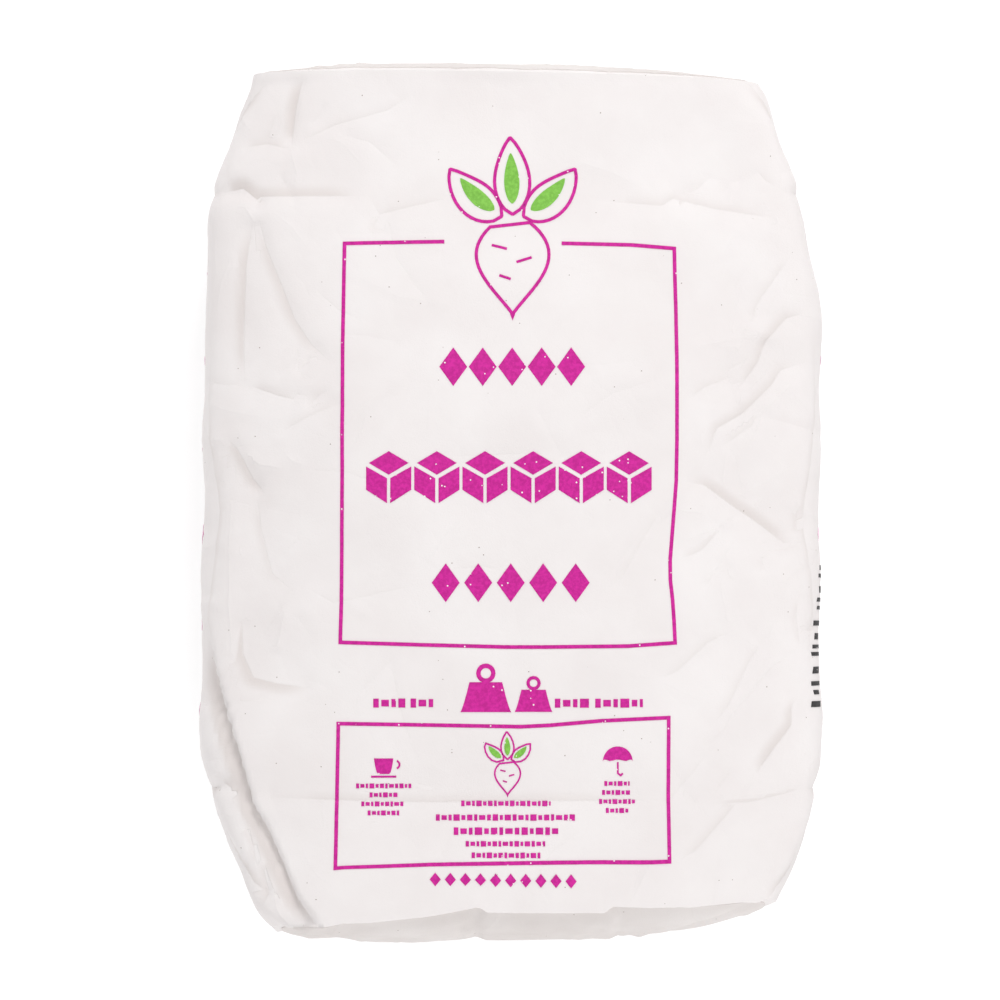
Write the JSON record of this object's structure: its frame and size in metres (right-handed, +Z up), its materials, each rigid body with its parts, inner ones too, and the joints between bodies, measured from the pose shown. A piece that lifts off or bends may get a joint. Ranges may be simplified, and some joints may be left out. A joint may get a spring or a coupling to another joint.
{
  "type": "bag of sugar",
  "caption": "Filled white multi-wall paper valve sack of sugar with square-cut ends, lying on its back with its printed front up.",
  "frame": {"origin": "on the floor under the middle of the sack", "axes": "+Y along the sack towards its top end, +Z up from the floor through the printed front, +X to the right of the print"},
  "size_m": [0.4258, 0.6038, 0.143],
  "materials": {
    "sack_paper": "white bleached kraft paper, matt, creased",
    "cover_paper": "white kraft cover sheet, matt",
    "magenta_print": "flexographic ink on paper, matt",
    "green_print": "flexographic ink on paper, matt",
    "black_print": "ink-jet marks on paper, matt"
  },
  "bodies": {
    "root": {"sack": "sack_paper", "top_cover": "cover_paper", "bottom_cover": "cover_paper"}
  },
  "joints": []
}
